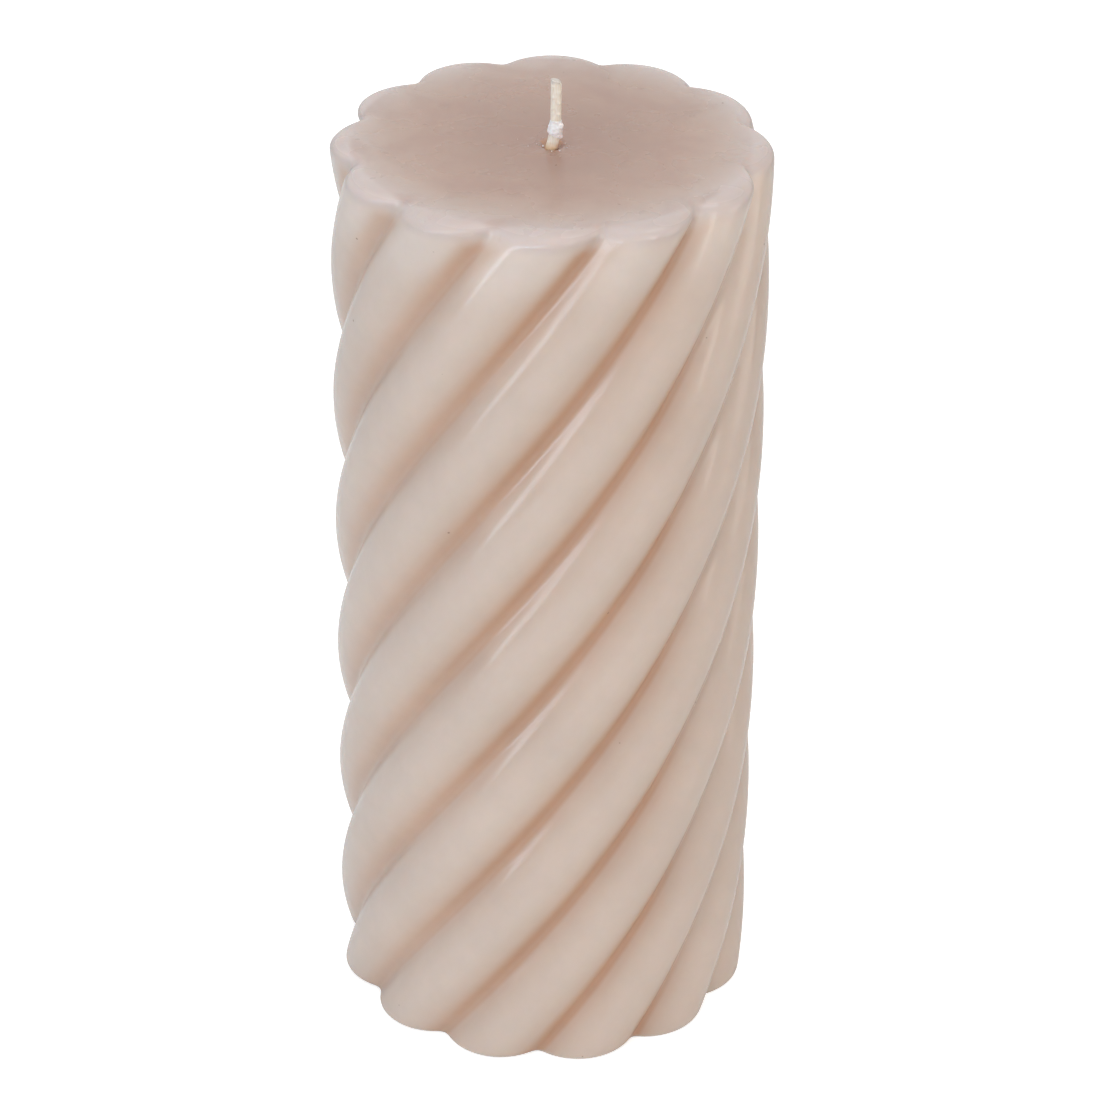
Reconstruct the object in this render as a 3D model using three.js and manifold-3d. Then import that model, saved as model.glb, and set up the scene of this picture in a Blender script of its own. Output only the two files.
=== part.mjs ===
// Swirl pillar candle: a twisted, lobed wax pillar round a plaited wick, the wick's tin sustainer in
// the foot, and the crust of wax left on the wick's stub. Millimetres, +Z up, origin at the centre of
// the foot, front towards -Y.
import * as THREE from 'three';
import { mergeVertices } from 'three/addons/utils/BufferGeometryUtils.js';
import Module from 'manifold-3d';

const wasm = await Module();
wasm.setup();

// Wax pillar
const pillarHeight = 150;
const footRadius = 34.3; // over the lobes, at the foot
const topRadius = 33.8; // over the lobes, at the top: the mould's draft
const lobeCount = 12;
const lobeRadius = 9.2; // of each rounded lobe
const grooveRadius = 5.6; // of the hollow between two lobes
const swirlDegrees = 197; // turn of the lobes from foot to top, a right-hand screw
const firstLobeDegrees = 13.6; // bearing of the first lobe at the foot
const topRimWidth = 2.7; // rounded top edge, inwards
const topRimHeight = 2.1; // rounded top edge, downwards
const footRimWidth = 0.9;
const footRimHeight = 0.85;

// Wick
const wickWidth = 1.8;
const wickThickness = 1.5;
const wickExitX = -0.1; // where the wick leaves the top, off the pillar's axis
const wickExitY = -2.8;
const stubHeight = 11; // to the middle of the cut tip
const stubLean = 0.65; // the stub's upper part stands this far to the right of its exit
const stubKneeHeight = 4.2; // where the lean ends and the stub runs straight up
const tipCutDegrees = 27; // slant of the snipped tip, high on the left

// Crust of wax round the stub
const crustHeight = 3.2;
const crustFootHeight = 1.3; // its lower edge over the top face
const crustThickness = 0.45; // at its widest, under the middle
const crustEdge = 0.2; // at its upper and lower edge
const crustUnevenness = 0.1; // of its outside, as a share of the radius
const crustGap = 0.15; // between the crust and the wick inside it

// Wick sustainer, a stamped tin tab with a drawn neck that grips the wick
const tabDiameter = 20;
const tabSheet = 0.3;
const tabLift = 0.4; // the tab lies this far up in the foot, clear of the table
const neckHeight = 6;
const neckFillet = 0.8;
const crimpHeight = 3; // length of the band where the neck is pinched on to the wick

// Clearances
const waxGap = 0.3; // wax to wick, and wax to tab
const neckGap = 0.2; // neck to wick

// Mouth of the wick hole
const mouthDiameter = 4.4;
const mouthDepth = 1.1;

// Facets
const lobeSteps = 6;
const grooveSteps = 3;
const swirlSteps = 30;
const rimSteps = 5;
const footRimSteps = 3;
const roundSteps = 32;
const wickSides = 10;
const wickSteps = 64;
const lineSamples = 1000;
const crimpSteps = 4;
const crustSides = 18;
const filletSteps = 2;

const toRadians = THREE.MathUtils.degToRad;

// Closed three.js geometry to solid, and back
function toSolid(geometry) {
  const bare = geometry.clone();
  bare.deleteAttribute('normal');
  bare.deleteAttribute('uv');
  const merged = mergeVertices(bare);
  const index = merged.index.array;
  const corners = [];
  for (let i = 0; i < index.length; i += 3) {
    const [a, b, c] = [index[i], index[i + 1], index[i + 2]];
    if (a !== b && b !== c && c !== a) corners.push(a, b, c);
  }
  return new wasm.Manifold(new wasm.Mesh({
    numProp: 3,
    vertProperties: new Float32Array(merged.attributes.position.array),
    triVerts: new Uint32Array(corners),
  }));
}

function toGeometry(solid) {
  const { vertProperties, triVerts } = solid.getMesh();
  const geometry = new THREE.BufferGeometry();
  geometry.setAttribute('position', new THREE.BufferAttribute(vertProperties, 3));
  geometry.setIndex(new THREE.BufferAttribute(triVerts, 1));
  geometry.computeVertexNormals();
  return geometry;
}

// Outline of the lobed section as arcs that meet without a corner. Inset shrinks the lobes and opens
// the grooves by the same amount, so the outline stays parallel to itself.
function lobedSection(outerRadius, inset) {
  const halfPitch = Math.PI / lobeCount;
  const lobeCentre = outerRadius - lobeRadius;
  const reach = lobeRadius + grooveRadius;
  const across = lobeCentre * Math.sin(halfPitch);
  const grooveCentre = lobeCentre * Math.cos(halfPitch) + Math.sqrt(reach ** 2 - across ** 2);
  const lobeSpan = Math.atan2(
    grooveCentre * Math.sin(halfPitch),
    grooveCentre * Math.cos(halfPitch) - lobeCentre,
  );
  const grooveSpan = lobeSpan - halfPitch;
  const points = [];
  const arcPoint = (bearing, distance, radius, angle) => points.push(new THREE.Vector2(
    distance * Math.cos(bearing) + radius * Math.cos(angle),
    distance * Math.sin(bearing) + radius * Math.sin(angle),
  ));
  for (let lobe = 0; lobe < lobeCount; lobe += 1) {
    const crest = 2 * halfPitch * lobe;
    const hollow = crest + halfPitch;
    for (let step = 0; step < lobeSteps; step += 1) {
      const turn = lobeSpan * ((2 * step) / lobeSteps - 1);
      arcPoint(crest, lobeCentre, lobeRadius - inset, crest + turn);
    }
    for (let step = 0; step < grooveSteps; step += 1) {
      const turn = grooveSpan * (1 - (2 * step) / grooveSteps);
      arcPoint(hollow, grooveCentre, grooveRadius + inset, hollow + Math.PI + turn);
    }
  }
  return points;
}

// Heights of the pillar's sections, with the rounding of both edges
function pillarLevels() {
  const levels = [];
  for (let step = 0; step < footRimSteps; step += 1) {
    const angle = (Math.PI / 2) * (step / footRimSteps);
    levels.push({
      z: footRimHeight * (1 - Math.cos(angle)),
      inset: footRimWidth * (1 - Math.sin(angle)),
    });
  }
  const straight = pillarHeight - footRimHeight - topRimHeight;
  for (let step = 0; step <= swirlSteps; step += 1) {
    levels.push({ z: footRimHeight + (straight * step) / swirlSteps, inset: 0 });
  }
  for (let step = 1; step <= rimSteps; step += 1) {
    const angle = (Math.PI / 2) * (step / rimSteps);
    levels.push({
      z: pillarHeight - topRimHeight * (1 - Math.sin(angle)),
      inset: topRimWidth * (1 - Math.cos(angle)),
    });
  }
  return levels;
}

// Loft through the lobed sections, each turned by its height's share of the swirl
function pillarLoft() {
  const levels = pillarLevels();
  const positions = [];
  const triangles = [];
  const count = lobeCount * (lobeSteps + grooveSteps);
  for (const { z, inset } of levels) {
    const share = z / pillarHeight;
    const turn = toRadians(firstLobeDegrees + swirlDegrees * share);
    const outer = THREE.MathUtils.lerp(footRadius, topRadius, share);
    for (const point of lobedSection(outer, inset)) {
      point.rotateAround(new THREE.Vector2(), turn);
      positions.push(point.x, point.y, z);
    }
  }
  for (let level = 0; level + 1 < levels.length; level += 1) {
    for (let i = 0; i < count; i += 1) {
      const next = (i + 1) % count;
      const low = level * count;
      const high = low + count;
      triangles.push(low + i, low + next, high + i, low + next, high + next, high + i);
    }
  }
  const footCentre = levels.length * count;
  const topCentre = footCentre + 1;
  const topRing = footCentre - count;
  positions.push(0, 0, 0, 0, 0, pillarHeight);
  for (let i = 0; i < count; i += 1) {
    const next = (i + 1) % count;
    triangles.push(next, i, footCentre, topRing + i, topRing + next, topCentre);
  }
  const geometry = new THREE.BufferGeometry();
  geometry.setAttribute('position', new THREE.Float32BufferAttribute(positions, 3));
  geometry.setIndex(triangles);
  return geometry;
}

// The wick's own line: straight through the wax from the middle of the tab, then the leaning stub
function wickLine() {
  const foot = new THREE.Vector3(0, 0, tabLift + tabSheet);
  const exit = new THREE.Vector3(wickExitX, wickExitY, pillarHeight);
  const straight = (share) => foot.clone().lerp(exit, share);
  const overTop = (lean, height) => new THREE.Vector3(
    wickExitX + lean,
    wickExitY,
    pillarHeight + height,
  );
  return new THREE.CatmullRomCurve3([
    foot,
    straight(0.5),
    straight(0.98),
    exit,
    overTop(stubLean, stubKneeHeight),
    overTop(stubLean, (stubKneeHeight + stubHeight) / 2),
    overTop(stubLean, stubHeight + wickWidth),
  ], false, 'centripetal');
}

// An oval section swept along the wick's line, as wide as the wick plus a gap all round
function alongWick(gap) {
  const section = new THREE.Shape();
  section.absellipse(0, 0, wickWidth / 2 + gap, wickThickness / 2 + gap, 0, 2 * Math.PI);
  const outline = new THREE.Shape(section.getSpacedPoints(wickSides).slice(0, wickSides));
  return toSolid(new THREE.ExtrudeGeometry(outline, {
    steps: wickSteps,
    extrudePath: wickLine(),
    bevelEnabled: false,
  }));
}

// Upright round plug, or a cone with another radius at its upper end
function plug(radius, low, high, upperRadius = radius) {
  const geometry = new THREE.CylinderGeometry(upperRadius, radius, high - low, roundSteps);
  geometry.rotateX(Math.PI / 2);
  geometry.translate(0, 0, (low + high) / 2);
  return geometry;
}

const neckInner = wickWidth / 2 + neckGap;
const neckOuter = neckInner + tabSheet;

function waxPillar() {
  const recessTop = tabLift + tabSheet + waxGap;
  const neckTop = tabLift + neckHeight + waxGap;
  const below = -1;
  const recess = toSolid(plug(tabDiameter / 2 + waxGap, below, recessTop));
  const flare = toSolid(plug(
    neckOuter + neckFillet + waxGap,
    recessTop - waxGap,
    recessTop + neckFillet,
    neckOuter + waxGap,
  ));
  const pocket = toSolid(plug(neckOuter + waxGap, below, neckTop));
  const boreRadius = wickWidth / 2 + waxGap;
  const mouth = toSolid(plug(
    boreRadius,
    pillarHeight - mouthDepth,
    pillarHeight + mouthDepth,
    mouthDiameter - boreRadius,
  ).translate(wickExitX, wickExitY, 0));
  return toSolid(pillarLoft())
    .subtract(recess)
    .subtract(flare)
    .subtract(pocket)
    .subtract(alongWick(waxGap))
    .subtract(mouth);
}

function wick() {
  const reach = 4 * wickWidth;
  const snip = new THREE.BoxGeometry(reach, reach, reach);
  snip.translate(0, 0, reach / 2);
  snip.rotateY(toRadians(tipCutDegrees));
  snip.translate(wickExitX + stubLean, wickExitY, pillarHeight + stubHeight);
  return alongWick(0).subtract(toSolid(snip));
}

// Barrel with uneven sides, threaded on the leaning wick
function wickCrust() {
  const inner = wickWidth / 2 + crustGap;
  const edge = inner + crustEdge;
  const profile = new THREE.SplineCurve([
    new THREE.Vector2(edge, 0),
    new THREE.Vector2(inner + crustThickness, crustHeight * 0.35),
    new THREE.Vector2(inner + crustThickness * 0.8, crustHeight * 0.7),
    new THREE.Vector2(edge, crustHeight),
  ]);
  const outline = [
    new THREE.Vector2(0, 0),
    ...profile.getPoints(6),
    new THREE.Vector2(0, crustHeight),
  ];
  const barrel = new THREE.LatheGeometry(outline, crustSides);
  barrel.rotateX(Math.PI / 2);
  const line = wickLine().getSpacedPoints(lineSamples);
  const place = barrel.attributes.position;
  const point = new THREE.Vector3();
  for (let i = 0; i < place.count; i += 1) {
    point.fromBufferAttribute(place, i);
    const height = pillarHeight + crustFootHeight + point.z;
    const centre = line.find((sample) => sample.z >= height);
    const bearing = Math.atan2(point.y, point.x);
    const rise = point.z / crustHeight;
    const lump = Math.sin(2 * bearing + 5 * rise) * Math.sin(Math.PI * rise);
    const swell = 1 + crustUnevenness * lump;
    place.setXYZ(i, centre.x + point.x * swell, centre.y + point.y * swell, height);
  }
  return toSolid(barrel).subtract(alongWick(crustGap));
}

// How far the crimp has closed at a height on the neck: 1 in the middle of the band, 0 outside it
function crimpAt(height) {
  const middle = neckHeight - crimpHeight / 2;
  const share = Math.min(1, Math.abs(height - middle) / (crimpHeight / 2));
  return Math.cos((share * Math.PI) / 2) ** 2;
}

// Disc and neck in one sheet thickness, turned as a closed ring profile, the neck pinched to the
// wick's thickness on two sides
function wickSustainer() {
  const disc = tabDiameter / 2;
  const filletX = neckOuter + neckFillet;
  const filletY = neckFillet + tabSheet;
  const profile = new THREE.Path();
  profile.moveTo(disc, 0);
  profile.lineTo(disc, tabSheet);
  profile.absarc(filletX, filletY, neckFillet, 1.5 * Math.PI, Math.PI, true);
  for (let step = 0; step <= crimpSteps; step += 1) {
    profile.lineTo(neckOuter, neckHeight - crimpHeight * (1 - step / crimpSteps));
  }
  for (let step = crimpSteps; step >= 0; step -= 1) {
    profile.lineTo(neckInner, neckHeight - crimpHeight * (1 - step / crimpSteps));
  }
  profile.absarc(filletX, filletY, neckFillet + tabSheet, Math.PI, 1.5 * Math.PI);
  profile.lineTo(disc, 0);
  const geometry = new THREE.LatheGeometry(profile.getPoints(filletSteps), roundSteps);
  geometry.rotateX(Math.PI / 2);
  const pinch = (wickWidth - wickThickness) / 2;
  const place = geometry.attributes.position;
  for (let i = 0; i < place.count; i += 1) {
    const [x, y, z] = [place.getX(i), place.getY(i), place.getZ(i)];
    const flat = Math.abs(y) / Math.hypot(x, y);
    place.setXYZ(i, x, y - Math.sign(y) * pinch * crimpAt(z) * flat, z + tabLift);
  }
  return toSolid(geometry);
}

// One named piece, with the colour and finish of its material
function piece(name, solid, color, roughness, metalness) {
  const material = new THREE.MeshStandardMaterial({ color, roughness, metalness });
  const mesh = new THREE.Mesh(toGeometry(solid), material);
  mesh.name = name;
  return mesh;
}

const candle = new THREE.Group();
candle.add(
  piece('wax_body', waxPillar(), 0xcebdb4, 0.38, 0),
  piece('wick', wick(), 0xddd2c5, 0.85, 0),
  piece('wick_wax_crust', wickCrust(), 0xe0d6ce, 0.55, 0),
  piece('wick_sustainer', wickSustainer(), 0xb9bbba, 0.35, 0.9),
);

export default candle;
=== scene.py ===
import math
import random

import bmesh
import bpy
from mathutils import Matrix, Quaternion, Vector


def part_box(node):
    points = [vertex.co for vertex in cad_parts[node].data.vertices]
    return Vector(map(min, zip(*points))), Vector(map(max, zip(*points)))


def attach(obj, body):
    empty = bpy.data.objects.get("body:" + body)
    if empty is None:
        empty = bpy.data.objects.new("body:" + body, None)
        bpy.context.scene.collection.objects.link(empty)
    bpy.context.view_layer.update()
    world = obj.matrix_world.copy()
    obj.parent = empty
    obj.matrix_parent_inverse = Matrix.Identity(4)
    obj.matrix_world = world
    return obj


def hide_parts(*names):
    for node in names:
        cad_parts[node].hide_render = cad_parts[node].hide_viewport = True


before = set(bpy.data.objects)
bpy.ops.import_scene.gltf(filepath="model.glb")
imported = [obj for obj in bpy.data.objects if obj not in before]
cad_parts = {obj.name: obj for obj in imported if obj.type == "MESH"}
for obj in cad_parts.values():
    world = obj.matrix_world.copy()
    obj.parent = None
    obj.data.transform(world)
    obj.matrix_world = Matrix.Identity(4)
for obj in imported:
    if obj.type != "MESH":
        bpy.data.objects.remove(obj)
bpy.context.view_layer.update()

mm = 0.001

# Wax pillar, from the frame's box and the mould's own sizes
pillar_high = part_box("wax_body")[1]
pillar_height = pillar_high.z
foot_radius = pillar_high.x
mould_draft = 0.5 * mm
top_radius = foot_radius - mould_draft
lobe_count = 12
lobe_radius = 9.4 * mm
groove_radius = 1.5 * mm
swirl_degrees = 197.0
first_lobe_degrees = 13.6
top_rim_width = 2.7 * mm
top_rim_height = 2.1 * mm
foot_rim_width = 0.9 * mm
foot_rim_height = 0.85 * mm
groove_reach = 0.915  # how far out a groove's bottom lies, as a share of a crest's reach
points_per_lobe = 20
side_rings = 44
foot_rim_rings = 3
top_rim_rings = 6
ripple_height = 0.26 * mm
ripple_spread = 17 * mm
level_foot = 0.08 * mm  # what lies lower than this is set level again after the ripples

# Wick, from its exit in the top to its tip
wick_exit = Vector((-0.1 * mm, -2.6 * mm, pillar_height))
wick_width = 1.8 * mm
wick_thickness = 1.5 * mm
wick_foot_height = 0.7 * mm
stub_height = 10.9 * mm
stub_lean = 0.65 * mm
stub_knee_height = 4.2 * mm
tip_slant_degrees = 14.0
tip_shoulder_degrees = 58.0
tip_shoulder = Vector((0.42 * mm, 0.0, -0.1 * mm))
core_radius = 0.85 * mm
core_depth = 0.8  # front to back, as a share of its width
plait_pitch = 5.4 * mm
yarn_radius = 0.41 * mm
plait_start = -4.0 * mm
plait_end = stub_height + 2.5 * mm
plait_trim = 0.8 * mm
plait_sway_x = 0.44 * mm
plait_sway_y = 0.29 * mm
foot_swelling = 1.09  # how much wider the stub's foot is
foot_from, foot_to = -0.7 * mm, 2.3 * mm
wick_grain = 0.08 * mm
fine_grain = 0.07 * mm
enlarged = 10.0  # the wick and the crust are shaped ten times their size

# Pit that the wick stands in
pit_centre = Vector((0.03 * mm, -1.7 * mm, pillar_height))
pit_radius = 1.7 * mm
pit_hollow = Vector((0.05 * mm, -0.85 * mm, pillar_height))
bore_radius = 1.2 * mm
bore_top = 3.5 * mm  # under the top face

# Rings of the flat top from the rim in to the pit, as radius and sink in mm
top_rings = (
    (30.3, 0.01), (28.5, 0.05), (25.0, 0.08), (21.0, 0.1), (17.0, 0.1), (13.0, 0.1),
    (9.5, 0.1), (7.0, 0.09), (5.0, 0.07), (3.6, 0.05), (2.7, 0.04), (2.2, 0.07),
    (1.9, 0.13), (1.7, 0.22), (1.58, 0.34),
)
# Rings of the pit's floor, as radius, sink and share of the way to the wick's exit
pit_rings = ((1.42, 0.42, 0.3), (1.25, 0.5, 0.7), (1.1, 0.6, 1.0), (1.08, 1.5, 1.0))

# Crust of wax on the stub
crust_low = 1.4 * mm
crust_high = 4.5 * mm
crust_foot_radius = 0.98 * mm
crust_depth = 0.86  # front to back, as a share of its width
crust_slant_height = 1.95 * mm  # where its slanted lower edge crosses the wick's middle
crust_slant_degrees = 27.0
crust_bite = 0.03 * mm  # how far the crust reaches into the wick's side
crumbles = ((6.0, 0.18), (2.4, 0.08))  # spread and strength of its roughness, in mm
# Its outline, as share of its height and radius in mm
crust_outline = ((0.15, 1.1), (0.35, 1.19), (0.55, 1.17), (0.75, 1.06), (0.88, 0.97), (1.0, 0.9))
# Its lumps, as place to the right and to the back, height and radius in mm, and stretch upwards
crust_lumps = (
    (-0.72, -0.2, 2.75, 0.5, 1.0), (-0.5, -0.4, 2.5, 0.42, 1.0), (0.66, -0.3, 3.6, 0.56, 1.2),
    (0.88, -0.2, 1.85, 0.42, 1.0), (0.45, -0.5, 2.2, 0.42, 1.0), (-0.2, 0.55, 2.8, 0.5, 1.0),
)

# Crumbs of wax about the pit
crumb_count = 14
chip_radius = 0.1 * mm
crumb_sink = 0.03 * mm
chip_grain = 0.09 * mm
chip_roughness = 0.12 * mm
crumb_fan = 0.75  # how far they stray from straight left and right, in radians
crumb_spread = 1.5 * mm
near_crumbs = 1.95 * mm
far_crumbs = 4.0 * mm
big_crumb = Vector((-1.35 * mm, -1.95 * mm, pillar_height - 0.16 * mm))
big_crumb_size = (1.6, 1.4, 1.1)

# Tin tab in the foot
tab_low, tab_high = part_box("wick_sustainer")
tab_radius = tab_high.x
tab_sheet = 0.3 * mm
tab_sides = 64
neck_inner = 1.1 * mm
neck_outer = neck_inner + tab_sheet
neck_fillet = 0.8 * mm
wax_gap = 0.3 * mm
bore_steps = 9
neck_steps = 10
pinch_height = 3.0 * mm
pinch_share = 0.16
cut_edge = 0.05 * mm
# The pressed bead over and under the tab, as radius and rise in mm
bead_over = ((8.6, 0.0), (8.3, 0.06), (7.9, 0.18), (7.5, 0.18), (7.1, 0.06), (6.8, 0.0))
bead_under = ((6.8, 0.0), (7.1, 0.06), (7.5, 0.17), (7.9, 0.17), (8.3, 0.06), (8.6, 0.0))

# Tints of the wax across a lobe, by degrees off its crest: painted shade, darkest and warmest in
# the grooves where shade falls
crest_tint = (0.640, 0.519, 0.444, 1.0)
lobe_shade_tints = (
    (-14.2, (0.553, 0.333, 0.227)),
    (-13.0, (0.578, 0.408, 0.320)),
    (-10.0, (0.578, 0.444, 0.362)),
    (-5.0, (0.617, 0.493, 0.418)),
    (0.0, (0.640, 0.519, 0.444)),
    (3.0, (0.638, 0.518, 0.436)),
    (8.0, (0.616, 0.472, 0.384)),
    (10.0, (0.597, 0.420, 0.318)),
    (12.0, (0.580, 0.368, 0.255)),
    (14.0, (0.560, 0.333, 0.224)),
)
# Tints of the flat top, by share of the way from the axis to the rim: painted shade, darker and
# warmer in the middle, and painted light, paler towards the rim
top_shade_tints = (
    (0.08, (0.377, 0.236, 0.187)),
    (0.35, (0.397, 0.264, 0.210)),
    (0.58, (0.446, 0.304, 0.246)),
    (0.72, (0.484, 0.354, 0.294)),
    (0.82, (0.520, 0.408, 0.356)),
    (0.91, (0.570, 0.478, 0.445)),
)
# Painted light: a paler band near the top of the side, and a pale rim, whose tint also colours the
# scrapes by the pit
lit_band_tint = (0.700, 0.594, 0.528, 1.0)
lit_rim_and_scrape_tint = (0.572, 0.492, 0.472, 1.0)
cloud_tint = (0.360, 0.225, 0.188, 1.0)
pit_tint = (0.450, 0.255, 0.170, 1.0)
speck_tint = (0.220, 0.130, 0.100, 1.0)
world_light = 0.17

# Camera, fitted to the photograph
camera_target = Vector((0.459 * mm, 0.0, 77.675 * mm))
camera_distance = 0.6
camera_elevation_degrees = 31.018
camera_roll_degrees = 0.701
camera_lens = 121.96


def drop_selection():
    bpy.ops.object.select_all(action="DESELECT")


def pick(piece):
    """Selects one piece alone and makes it the active one."""
    drop_selection()
    bpy.context.view_layer.objects.active = piece
    piece.select_set(True)


def edit(piece):
    pick(piece)
    bpy.ops.object.mode_set(mode="EDIT")


def stop_editing():
    bpy.ops.object.mode_set(mode="OBJECT")


def raise_edge(shift):
    """Extrudes the selected edge loop by a shift."""
    bpy.ops.mesh.extrude_region_move(TRANSFORM_OT_translate={"value": tuple(shift)})


def turn(degrees, middle=(0.0, 0.0)):
    """Turns what is selected anticlockwise about an upright line through middle."""
    bpy.ops.transform.rotate(
        value=-math.radians(degrees), orient_axis="Z", orient_type="GLOBAL",
        center_override=(middle[0], middle[1], 0.0),
    )


def draw_in(ratio, middle=(0.0, 0.0)):
    """Scales what is selected towards an upright line through middle."""
    bpy.ops.transform.resize(
        value=(ratio, ratio, 1.0), orient_type="GLOBAL",
        center_override=(middle[0], middle[1], 0.0),
    )


def lead_edge(edge, radius, height, middle=(0.0, 0.0), turned=0.0):
    """Extrudes the open edge of a shell to a new radius, height and middle, and turns it."""
    shift = (middle[0] - edge["middle"][0], middle[1] - edge["middle"][1], height - edge["height"])
    raise_edge(shift)
    draw_in(radius / edge["radius"], middle)
    if turned:
        turn(turned, middle)
    edge.update(radius=radius, height=height, middle=middle)


def add_modifier(piece, kind, **settings):
    """Adds a modifier and applies it."""
    pick(piece)
    modifier = piece.modifiers.new(kind.lower(), kind)
    for name, value in settings.items():
        setattr(modifier, name, value)
    bpy.ops.object.modifier_apply(modifier=modifier.name)


def smooth(piece):
    pick(piece)
    bpy.ops.object.shade_smooth()


def face_outwards(piece):
    edit(piece)
    bpy.ops.mesh.select_all(action="SELECT")
    bpy.ops.mesh.normals_make_consistent(inside=False)
    stop_editing()


def settle(piece, name, node, material):
    """Names a finished piece, gives it its finish and sets it in the frame for a CAD node."""
    pick(piece)
    bpy.ops.object.transform_apply(location=True, rotation=True, scale=True)
    piece.name = name
    piece.data.name = name
    piece.data.materials.clear()
    piece.data.materials.append(material)
    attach(piece, "root")
    if node:
        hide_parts(node)


def reach_of_outline(angle, outer):
    """How far the lobed outline lies from the axis, at an angle off the nearest lobe's crest."""
    half_pitch = math.pi / lobe_count
    lobe_centre = outer - lobe_radius
    across = lobe_centre * math.sin(half_pitch)
    groove_centre = lobe_centre * math.cos(half_pitch)
    groove_centre += math.sqrt((lobe_radius + groove_radius) ** 2 - across**2)
    run = groove_centre * math.cos(half_pitch) - lobe_centre
    rise = groove_centre * math.sin(half_pitch)
    share = lobe_radius / math.hypot(run, rise)
    meeting = math.atan2(rise * share, lobe_centre + run * share)
    if angle < meeting:
        side = lobe_centre * math.sin(angle)
        return lobe_centre * math.cos(angle) + math.sqrt(lobe_radius**2 - side**2)
    off = half_pitch - angle
    side = groove_centre * math.sin(off)
    return groove_centre * math.cos(off) - math.sqrt(groove_radius**2 - side**2)


def scallop(piece, crest_degrees, undo=False):
    """Draws the selected ring in between the lobes, one set of like points at a time, or out."""
    pitch = 360.0 / lobe_count
    step = pitch / points_per_lobe
    mesh = bmesh.from_edit_mesh(piece.data)
    ring = [v for v in mesh.verts if v.select]
    sets = {}
    for v in ring:
        bearing = math.degrees(math.atan2(v.co.y, v.co.x)) - crest_degrees
        off = abs((bearing + pitch / 2) % pitch - pitch / 2)
        sets.setdefault(round(off / step), []).append(v.index)
    everything = [v.index for v in ring]
    for place, members in sets.items():
        ratio = reach_of_outline(math.radians(place * step), foot_radius) / foot_radius
        select_points(piece, members)
        draw_in(1 / ratio if undo else ratio)
    select_points(piece, everything)


def select_points(piece, members):
    wanted = set(members)
    bpy.ops.mesh.select_all(action="DESELECT")
    mesh = bmesh.from_edit_mesh(piece.data)
    for v in mesh.verts:
        if v.index in wanted:
            v.select = True
    mesh.select_flush(True)
    bmesh.update_edit_mesh(piece.data)


def rim_levels():
    """Heights and insets of the pillar's rings, closer together round the two rims."""
    levels = []
    for step in range(1, foot_rim_rings + 1):
        angle = math.pi / 2 * step / foot_rim_rings
        levels.append(
            (foot_rim_height * (1 - math.cos(angle)), foot_rim_width * (1 - math.sin(angle)))
        )
    straight = pillar_height - foot_rim_height - top_rim_height
    for step in range(1, side_rings + 1):
        levels.append((foot_rim_height + straight * step / side_rings, 0.0))
    for step in range(1, top_rim_rings + 1):
        angle = math.pi / 2 * step / top_rim_rings
        height = pillar_height - top_rim_height * (1 - math.sin(angle))
        levels.append((height, top_rim_width * (1 - math.cos(angle))))
    return levels


def raise_lobes(edge):
    """Raises the lobed ring from the foot to the top face, turning it with the swirl."""
    for height, inset in rim_levels():
        outer = foot_radius - mould_draft * height / pillar_height
        turned = swirl_degrees * (height - edge["height"]) / pillar_height
        lead_edge(edge, outer - inset, height, turned=turned)


def close_top(edge):
    """Draws the flat top in to the wick's pit, down into it and on down the wick's bore."""
    rim = edge["radius"]
    for radius, sink in top_rings:
        share = max(0.0, (radius * mm - pit_radius) / (rim - pit_radius))
        middle = pit_centre.xy * (1 - share)
        lead_edge(edge, radius * mm, pillar_height - sink * mm, middle)
    for radius, sink, share in pit_rings:
        middle = pit_centre.xy.lerp(wick_exit.xy, share)
        lead_edge(edge, radius * mm, pillar_height - sink * mm, middle)


def close_foot(wax, edge):
    """Leads the bore down to the tab, round its neck and disc, and out over the foot."""
    neck_top = tab_high.z + wax_gap
    recess_top = tab_low.z + tab_sheet + wax_gap
    recess_radius = tab_radius + wax_gap
    spare_turn = swirl_degrees % (360.0 / lobe_count)
    for step in range(1, bore_steps + 1):
        height = (pillar_height - bore_top) * (1 - (step - 1) / (bore_steps - 1))
        height = max(height, neck_top)
        middle = wick_exit.xy * (height - neck_top) / (pillar_height - neck_top)
        lead_edge(edge, bore_radius, height, middle, -spare_turn / bore_steps)
    scallop(wax, first_lobe_degrees, undo=True)
    for radius, height in (
        (neck_outer + wax_gap, neck_top - 0.1 * mm),
        (neck_outer + wax_gap, recess_top + neck_fillet),
        (neck_outer + neck_fillet + wax_gap, recess_top),
        (6.0 * mm, recess_top),
        (recess_radius - 0.15 * mm, recess_top),
        (recess_radius, recess_top - 0.12 * mm),
        (recess_radius, 0.12 * mm),
        (recess_radius + 0.12 * mm, 0.0),
        (15.0 * mm, 0.0),
        (24.0 * mm, 0.0),
        (foot_radius - foot_rim_width, 0.0),
    ):
        lead_edge(edge, radius, height)
    scallop(wax, first_lobe_degrees)


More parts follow.
